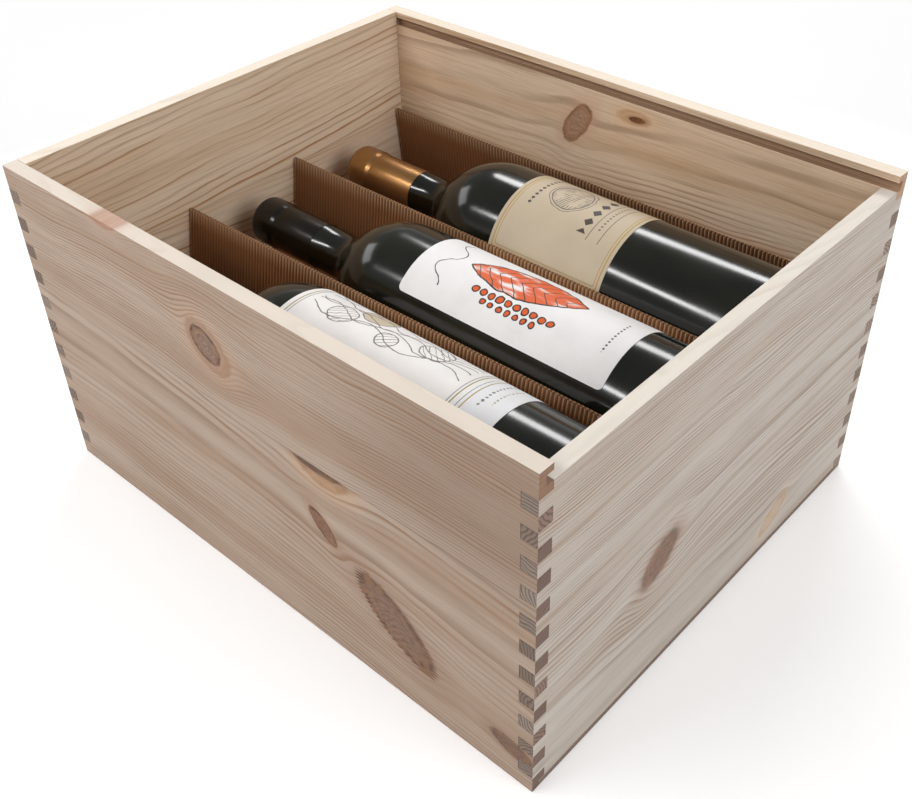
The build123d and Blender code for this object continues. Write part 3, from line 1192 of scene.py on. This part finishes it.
@dataclass(frozen=True)
class Boards:
    """The five boards of the box, with softened edges. Sizes are in millimetres.

    Attributes:
        softening: the width of the softened edges.
        finger: the height of a joint's finger.
        foot: the height where the lowest finger starts.
        groove_floor: the height where the lid's groove starts.
        groove_top: the height where it ends.
        groove_inner: how far from the box's middle the groove starts.
        groove_outer: how far from the box's middle it ends.
    """

    softening: float = 0.25
    finger: float = 8.35
    foot: float = 10.3
    groove_floor: float = 190.2
    groove_top: float = 195.4
    groove_inner: float = 137.3
    groove_outer: float = 142.3

    def side(self, pine: Pine, face: bmesh.types.BMFace, top: float) -> Side:
        """Tell which side of a board a face belongs to.

        Args:
            pine: the board's finish.
            face: the face.
            top: the height of the board's top in metres.

        Returns:
            The side.
        """
        middle = face.calc_center_median()
        in_groove = (self.groove_floor * MM < middle.z < self.groove_top * MM
                     and self.groove_inner * MM < abs(middle.y) < self.groove_outer * MM)
        # the groove's faces get its painted shade
        if pine.run is Run.X and in_groove:
            return Side.GROOVE
        if abs(face.normal[pine.run.value[0]]) > 0.9:
            return Side.END
        if face.normal.z > 0.5 and middle.z > top - self.softening * MM:
            return Side.TOP
        return Side.FACE

    def board(self, node: str, pine: Pine) -> bpy.types.Object:
        """Make one board from its CAD node.

        Args:
            node: the node's name.
            pine: its finish.

        Returns:
            The board.
        """
        mesh = merged_copy(node)
        bmesh.ops.dissolve_limit(mesh, angle_limit=math.radians(1), verts=mesh.verts, edges=mesh.edges)
        sharp = [edge for edge in mesh.edges if len(edge.link_faces) == 2
                 and edge.calc_face_angle(0.0) > math.radians(30)]
        bmesh.ops.bevel(mesh, geom=sharp, offset=self.softening * MM, segments=2, profile=0.5, affect="EDGES",
                        material=-1, clamp_overlap=True)
        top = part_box(node)[1].z
        for face in mesh.faces:
            face.material_index = self.side(pine, face, top)
        # the top edges get painted light and the groove gets painted shade
        finishes = {Side.FACE: pine.face(), Side.END: pine.end(self.finger, self.foot),
                    Side.TOP: pine.face(PaintedLight.EDGE), Side.GROOVE: pine.face(PaintedLight.GROOVE)}
        return shown(node + "_board", mesh, [finishes[side] for side in Side], node)

    def build(self) -> None:
        """Make all boards."""
        for node, pine in (("front_wall", FRONT_PINE), ("back_wall", BACK_PINE), ("left_end_wall", LEFT_PINE),
                           ("right_end_wall", RIGHT_PINE), ("bottom_panel", PANEL_PINE)):
            self.board(node, pine)


def rounded(corners: Sequence[Point3], steps: int) -> list[Point]:
    """Round the corners of a line.

    Args:
        corners: points with the radius of each.
        steps: steps along each round.

    Returns:
        The points of the rounded line.
    """
    line: list[Point] = []
    for index, (x, y, radius) in enumerate(corners):
        here = Vector((x, y))
        if radius == 0.0 or index in (0, len(corners) - 1):
            line.append((x, y))
            continue
        before = (Vector(corners[index - 1][:2]) - here).normalized()
        after = (Vector(corners[index + 1][:2]) - here).normalized()
        half = before.angle(after) / 2
        middle = here + (before + after).normalized() * (radius / math.sin(half))
        first = here + before * (radius / math.tan(half)) - middle
        last = here + after * (radius / math.tan(half)) - middle
        start = math.atan2(first.y, first.x)
        turn = math.remainder(math.atan2(last.y, last.x) - start, math.tau)
        for step in range(steps + 1):
            angle = start + turn * step / steps
            line.append((middle.x + radius * math.cos(angle), middle.y + radius * math.sin(angle)))
    return line


def lathe(profile: Sequence[Point], place: Vector, steps: int = 96) -> bmesh.types.BMesh:
    """Turn a profile about the X direction.

    Args:
        profile: points of distance along the axis, from its foot towards -X, and radius.
        place: the axis's foot.
        steps: faces round the axis.

    Returns:
        The turned mesh, in place and smooth.
    """
    mesh = bmesh.new()
    points = [mesh.verts.new((place.x - x, place.y, place.z + radius)) for x, radius in profile]
    edges = [mesh.edges.new(pair) for pair in zip(points, points[1:])]
    bmesh.ops.spin(mesh, geom=points + edges, cent=place, axis=(1, 0, 0), angle=math.tau, steps=steps,
                   use_merge=True)
    bmesh.ops.remove_doubles(mesh, verts=mesh.verts, dist=0.001 * MM)
    for face in mesh.faces:
        face.smooth = True
    return mesh


@dataclass
class Bottle:
    """A bottle lying with its neck to -X, and the capsule over its mouth. Sizes are in metres.

    Its radius, length and place, and the capsule's length, come from the CAD nodes.
    """

    name: str
    glass: bpy.types.Material
    foil: bpy.types.Material
    foil_slot: str
    body_length: float = 198.5 * MM
    shoulder_radius: float = 50.0 * MM
    throat_radius: float = 16.0 * MM
    neck_radius: float = 13.5 * MM
    heel_radius: float = 6.0 * MM
    punt_depth: float = 14.0 * MM
    punt_rim: float = 3.0 * MM
    punt_rim_edge: float = 2.5 * MM
    punt_bow: float = 8.0 * MM
    finish_radius: float = 14.2 * MM
    finish_height: float = 16.0 * MM
    finish_foot_edge: float = 0.5 * MM
    finish_edge: float = 1.5 * MM
    foil_skin: float = 0.36 * MM
    foil_rim_edge: float = 0.1 * MM
    foil_slope: Point = (2.0 * MM, 1.0 * MM)
    foil_slope_edges: Point = (4.0 * MM, 3.0 * MM)
    mouth_edge: float = 3.0 * MM
    radius: float = field(init=False)
    length: float = field(init=False)
    capsule_length: float = field(init=False)
    foot: Vector = field(init=False)

    def __post_init__(self) -> None:
        """Take the bottle's place and its measures from its CAD nodes."""
        low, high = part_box(self.name)
        self.radius = (high.z - low.z) / 2
        self.foot = Vector((high.x, (low.y + high.y) / 2, (low.z + high.z) / 2))
        self.length = high.x - low.x
        cap_low, cap_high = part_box(self.capsule)
        self.capsule_length = cap_high.x - cap_low.x

    @property
    def capsule(self) -> str:
        """Give the name of the bottle's capsule node."""
        return self.name.replace("bottle", "capsule")

    def glass_profile(self) -> list[Point]:
        """Draw the bottle's outline, with a shoulder and a throat that run into each other.

        Returns:
            Points of distance from the foot and radius.
        """
        reach = self.shoulder_radius + self.throat_radius
        slope = math.acos((self.neck_radius - self.radius + reach) / reach)
        neck_foot = self.body_length + reach * math.sin(slope)
        shoulder = self.body_length + self.shoulder_radius * math.tan(slope / 2)
        throat = neck_foot - self.throat_radius * math.tan(slope / 2)
        stand = self.radius - self.heel_radius - self.punt_rim
        finish_foot = self.length - self.finish_height
        almost = 0.999
        return rounded((
            (self.punt_depth, 0.0, 0.0), (self.punt_depth * 0.8, stand * 0.55, self.punt_bow),
            (0.0, stand, self.punt_rim_edge), (0.0, self.radius, self.heel_radius),
            (shoulder, self.radius, self.shoulder_radius * almost),
            (throat, self.neck_radius, self.throat_radius * almost),
            (finish_foot, self.neck_radius, 0.0), (finish_foot, self.finish_radius, self.finish_foot_edge),
            (self.length, self.finish_radius, self.finish_edge), (self.length, 0.0, 0.0)), 14)

    def foil_profile(self) -> list[Point]:
        """Draw the capsule's outline, which lies close round the neck and the finish.

        Returns:
            Points of distance from the foot and radius.
        """
        end = self.length + self.foil_skin
        rim = end - self.capsule_length
        outer = self.neck_radius + self.foil_skin
        finish = self.finish_radius + self.foil_skin
        start = self.length - self.finish_height - self.foil_skin
        before, after = self.foil_slope
        foot_edge, top_edge = self.foil_slope_edges
        return rounded((
            (rim, self.neck_radius, 0.0), (rim, outer, self.foil_rim_edge),
            (start - before, outer, foot_edge), (start + after, finish, top_edge),
            (end, finish, self.mouth_edge), (end, 0.0, 0.0)), 8)

    def build(self) -> None:
        """Make the glass and the capsule."""
        glass = lathe(self.glass_profile(), self.foot)
        shown(self.name + "_glass", glass, (self.glass,), self.name)
        foil = lathe(self.foil_profile(), self.foot)
        shown(self.capsule + "_foil", foil, (self.foil,), self.capsule)


@dataclass(frozen=True)
class Sheet:
    """A printed label on its bottle.

    Attributes:
        node: the label's CAD node.
        bottle: the bottle's CAD node.
        motif: the design.
        wrap: the angle that the label covers, in degrees.
        paper: the paper's colour.
    """

    node: str
    bottle: str
    motif: Motif
    wrap: float
    paper: Colour

    def build(self) -> None:
        """Lay the design over a merged copy of the CAD label, with a UV map in millimetres from its middle."""
        mesh = merged_copy(self.node)
        bottle_low, bottle_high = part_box(self.bottle)
        centre = (bottle_low + bottle_high) / 2
        radius = (bottle_high.z - bottle_low.z) / 2
        low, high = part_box(self.node)
        middle_x = (low.x + high.x) / 2

        def angle(place: Vector) -> float:
            """Give the angle round the bottle, 0 at its top."""
            return math.atan2(place.y - centre.y, place.z - centre.z)

        turns = [angle(vert.co) for vert in mesh.verts]
        middle = (min(turns) + max(turns)) / 2
        layer = mesh.loops.layers.uv.new("sheet")
        for face in mesh.faces:
            for loop in face.loops:
                across = (angle(loop.vert.co) - middle) * radius
                along = middle_x - loop.vert.co.x
                loop[layer].uv = (across / MM, along / MM)
        smooth_up_to(mesh, 40)
        half_length = (high.x - low.x) / 2 / MM
        half_height = math.radians(self.wrap / 2) * radius / MM
        look = Label(self.node + "_print", self.motif, half_length, half_height, self.paper)
        shown(self.node + "_paper", mesh, (look.make(),), self.node)


@dataclass(frozen=True)
class Divider:
    """Single-faced corrugated sheet: a flat liner with a wavy sheet glued on it, channels open at the top.

    Sizes are in metres.

    Attributes:
        node: its CAD node.
        foot: the Y and Z of its lower edge's middle.
        lean: how far it leans, in degrees.
        yaw: how far it stands askew, in degrees.
        kraft: its finish.
        length: its length along the box.
        height: its height.
        thickness: its thickness with the flutes.
        liner: the thickness of the flat sheet.
        paper: the thickness of the wavy sheet.
        pitch: the distance between two flutes.
        samples: steps along a flute's wave.
    """

    node: str
    foot: Point
    lean: float
    yaw: float
    kraft: bpy.types.Material
    length: float = 341.4 * MM
    height: float = 55.0 * MM
    thickness: float = 2.0 * MM
    liner: float = 0.3 * MM
    paper: float = 0.22 * MM
    pitch: float = 2.5 * MM
    samples: int = 10

    def add_liner(self, mesh: bmesh.types.BMesh) -> None:
        """Add the flat sheet, upright on Z = 0.

        Args:
            mesh: the divider's mesh.
        """
        size = Matrix.Diagonal((self.length, self.liner, self.height, 1.0))
        place = Matrix.Translation((0.0, (self.thickness - self.liner) / 2, self.height / 2))
        bmesh.ops.create_cube(mesh, size=1.0, matrix=place @ size)

    def add_flutes(self, mesh: bmesh.types.BMesh) -> None:
        """Add the wavy sheet, upright on Z = 0.

        Args:
            mesh: the divider's mesh.
        """
        flutes = int(self.length / self.pitch)
        crest = self.thickness / 2 - self.liner - self.paper
        valley = -self.thickness / 2
        middle = (crest + valley) / 2
        swing = (crest - valley) / 2
        upright = (Matrix.Translation((0.0, 0.0, self.height / 2)) @ Matrix.Rotation(math.pi / 2, 4, "X")
                   @ Matrix.Diagonal((self.length, self.height, 1.0, 1.0)))
        wavy = bmesh.ops.create_grid(mesh, x_segments=flutes * self.samples, y_segments=1, size=0.5,
                                     matrix=upright)["verts"]
        for vert in wavy:
            turns = (vert.co.x / self.length + 0.5) * flutes
            vert.co.y = middle + swing * math.cos(math.tau * turns)
        skin = list({face for vert in wavy for face in vert.link_faces})
        made = bmesh.ops.extrude_face_region(mesh, geom=skin)
        moved = [part for part in made["geom"] if isinstance(part, bmesh.types.BMVert)]
        bmesh.ops.translate(mesh, verts=moved, vec=(0.0, self.paper, 0.0))

    def build(self) -> None:
        """Make the liner and the wavy sheet in place."""
        mesh = bmesh.new()
        self.add_liner(mesh)
        self.add_flutes(mesh)
        bmesh.ops.recalc_face_normals(mesh, faces=mesh.faces)
        turn = (Matrix.Translation((0.0, *self.foot)) @ Matrix.Rotation(math.radians(self.yaw), 4, "Z")
                @ Matrix.Rotation(math.radians(-self.lean), 4, "X"))
        bmesh.ops.transform(mesh, matrix=turn, verts=mesh.verts)
        smooth_up_to(mesh, 50)
        shown(self.node + "_board", mesh, (self.kraft,), self.node)


@dataclass(frozen=True)
class Packing:
    """The board that packs the bottles: upper dividers with real flutes, and the hidden pieces as in CAD.

    Attributes:
        kraft: the board's finish.
        seat: the height that the upper dividers stand at, in millimetres.
        half_thickness: half of an upper divider's thickness, by whose lean the foot's middle is lifted.
        upper: the name, foot in millimetres, lean and yaw in degrees of each upper divider.
        hidden: the nodes that keep their CAD mesh.
    """

    kraft: bpy.types.Material
    seat: float = 78.2
    half_thickness: float = 1.0
    upper: tuple[tuple[str, float, float, float], ...] = (
        ("divider_front", -52.9673, 11.1, 0.8),
        ("divider_middle", 31.0489, 8.2, 0.17),
        ("divider_rear", 135.6, -4.9, 0.0))
    hidden: tuple[str, ...] = ("layer_pad", "lower_divider_front", "lower_divider_middle",
                               "lower_divider_rear")

    def build(self) -> None:
        """Make the upper dividers and give the hidden pieces their finish."""
        for node, foot, lean, yaw in self.upper:
            lift = self.half_thickness * abs(math.sin(math.radians(lean)))
            Divider(node, (foot * MM, (self.seat + lift) * MM), lean, yaw, self.kraft).build()
        for node in self.hidden:
            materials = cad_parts[node].data.materials
            materials.clear()
            materials.append(self.kraft)
            LOG.info("%s: CAD mesh kept", node)


@dataclass(frozen=True)
class Lamp:
    """A soft white lamp that looks at the box.

    Attributes:
        name: its name.
        place: where it hangs, in metres.
        size: its width and height in metres.
        power: its strength in watts.
    """

    name: str
    place: Point3
    size: Point
    power: float

    AIM: ClassVar[Point3] = (0.0, 0.0, 0.1)

    def build(self) -> None:
        """Hang the lamp."""
        data = bpy.data.lights.new(self.name, "AREA")
        data.shape = "RECTANGLE"
        data.size, data.size_y = self.size
        data.energy = self.power
        data.color = WHITE
        lamp = bpy.data.objects.new(self.name, data)
        spot = Vector(self.place)
        look = (Vector(self.AIM) - spot).to_track_quat("-Z", "Y").to_matrix().to_4x4()
        lamp.matrix_world = Matrix.Translation(spot) @ look
        bpy.context.scene.collection.objects.link(lamp)


@dataclass(frozen=True)
class Studio:
    """White floor and backdrop, soft lamps, and the camera at the photograph's angle. Sizes are in metres.

    Attributes:
        place: where the camera is.
        target: what it looks at.
        roll: how far it is rolled, in degrees.
        lens: its focal length in millimetres.
        sensor: the width of its sensor in millimetres.
        shift: how far its frame is shifted.
        clip: how near and how far it sees.
        lamps: the lamps.
        ambience: the strength of the even light from all sides.
        backdrop: the heights of a mirrored direction where white starts and where it is full.
        floor_size: half of the floor's width.
        floor_white: how white the floor is.
        floor_glow: how much of its own light the floor shows to the camera and to gloss.
        fade: the distances in millimetres between which the floor turns to plain white.
    """

    place: Point3 = (0.36596, -0.3818, 0.48)
    target: Point3 = (0.03303, -0.02318, 0.0995)
    roll: float = -1.51
    lens: float = 45.71
    sensor: float = 36.0
    shift: Point = (-0.0127, -0.0334)
    clip: Point = (0.01, 50.0)
    lamps: tuple[Lamp, ...] = (
        Lamp("back_left", (-0.52, 0.95, 1.1), (0.9, 0.24), 9.0),
        Lamp("front_left", (-0.52, -0.95, 1.1), (0.9, 0.12), 8.0),
        Lamp("left", (-1.5, -0.2, 0.85), (0.8, 0.5), 3.6),
        Lamp("right", (1.5, 0.0, 0.9), (1.0, 1.2), 14.0),
        Lamp("front", (0.15, -1.6, 0.8), (0.9, 0.8), 2.2))
    ambience: float = 0.3
    backdrop: Point = (0.4, 0.2)
    floor_size: float = 4.0
    floor_white: float = 0.92
    floor_glow: float = 0.24
    fade: Point = (350.0, 1100.0)

    def camera(self) -> None:
        """Set the camera at the photograph's angle."""
        data = bpy.data.cameras.new("camera")
        data.lens = self.lens
        data.sensor_width = self.sensor
        data.shift_x, data.shift_y = self.shift
        data.clip_start, data.clip_end = self.clip
        camera = bpy.data.objects.new("camera", data)
        place = Vector(self.place)
        look = (Vector(self.target) - place).to_track_quat("-Z", "Y").to_matrix().to_4x4()
        roll = Matrix.Rotation(math.radians(self.roll), 4, "Z")
        camera.matrix_world = Matrix.Translation(place) @ look @ roll
        bpy.context.scene.collection.objects.link(camera)
        bpy.context.scene.camera = camera

    def world(self) -> None:
        """Light the scene evenly and show white behind it, and low down in what mirrors it."""
        graph = Graph(bpy.data.worlds.new("studio"))
        rays = graph.node("ShaderNodeLightPath").outputs
        direction = graph.node("ShaderNodeTexCoord").outputs["Generated"]
        height = graph.node("ShaderNodeSeparateXYZ", {0: direction}).outputs["Z"]
        start, full = self.backdrop
        heights = {"Value": height, "From Min": start, "From Max": full}
        low = graph.node("ShaderNodeMapRange", heights).outputs[0]
        mirrored = graph.times(low, rays["Is Glossy Ray"])
        seen = graph.math("MAXIMUM", rays["Is Camera Ray"], mirrored)
        levels = {"Value": seen, "To Min": self.ambience, "To Max": 1.0}
        strength = graph.node("ShaderNodeMapRange", levels).outputs[0]
        white = graph.node("ShaderNodeBackground", {"Color": (*WHITE, 1.0), "Strength": strength})
        graph.node("ShaderNodeOutputWorld", {"Surface": white.outputs[0]})
        bpy.context.scene.world = graph.owner

    def floor_finish(self) -> bpy.types.Material:
        """Make the pale floor, which turns to plain white far away and keeps the object's shadow near it.

        Returns:
            The material.
        """
        graph = Graph.finish("floor")
        rays = graph.node("ShaderNodeLightPath").outputs
        seen = graph.math("MAXIMUM", rays["Is Camera Ray"], rays["Is Glossy Ray"])
        east, north, _ = graph.axes()
        away = graph.times(graph.step(graph.far(east, north), *self.fade), seen)
        glow = graph.times(graph.math("MAXIMUM", away, self.floor_glow), seen)
        colour = graph.mix(away, shaded(WHITE, self.floor_white), BLACK)
        return graph.surface({"Base Color": colour, "Roughness": 0.9, "Specular IOR Level": 0.0,
                              "Emission Color": WHITE, "Emission Strength": glow})

    def floor(self) -> None:
        """Lay the floor."""
        mesh = bmesh.new()
        bmesh.ops.create_grid(mesh, x_segments=1, y_segments=1, size=self.floor_size)
        data = bpy.data.meshes.new("floor")
        mesh.to_mesh(data)
        mesh.free()
        data.materials.append(self.floor_finish())
        floor = bpy.data.objects.new("floor", data)
        bpy.context.scene.collection.objects.link(floor)

    def build(self) -> None:
        """Set up the whole studio."""
        self.camera()
        self.world()
        for lamp in self.lamps:
            lamp.build()
        self.floor()


def main() -> None:
    """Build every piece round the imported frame."""
    logging.basicConfig(level=logging.INFO, format="%(name)s %(message)s")
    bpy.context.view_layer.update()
    bpy.context.scene.view_settings.view_transform = "Standard"
    Boards().build()
    Packing(Kraft().make()).build()
    glass = Gloss("dark_glass", srgb(10, 11, 6), srgb(22, 22, 10), roughness=0.13, ior=1.52).make()
    black = Gloss("black_foil", srgb(20, 16, 10), srgb(12, 10, 7), roughness=0.2, ior=1.4).make()
    gold = Gloss("gold_foil", srgb(168, 126, 80), srgb(143, 103, 61), roughness=0.3, metallic=0.85,
                 relief=0.06, waves=(0.02, 0.5, 0.5)).make()
    for row in ("front", "middle", "rear"):
        foil, slot = (gold, "gold_foil") if row == "rear" else (black, "black_foil")
        Bottle("bottle_" + row, glass, foil, slot).build()
        Bottle("lower_bottle_" + row, glass, black, "black_foil").build()
    for sheet in (Sheet("label_front", "bottle_front", Motif.LOOPS, 126.0, srgb(240, 236, 233)),
                  Sheet("label_strip", "bottle_front", Motif.ROWS, 126.0, srgb(234, 234, 236)),
                  Sheet("label_middle", "bottle_middle", Motif.LEAF, 134.0, srgb(240, 238, 237)),
                  Sheet("label_rear", "bottle_rear", Motif.MEDALLION, 132.0, srgb(195, 178, 153))):
        sheet.build()
    Studio().build()


if __name__ == "__main__":
    main()
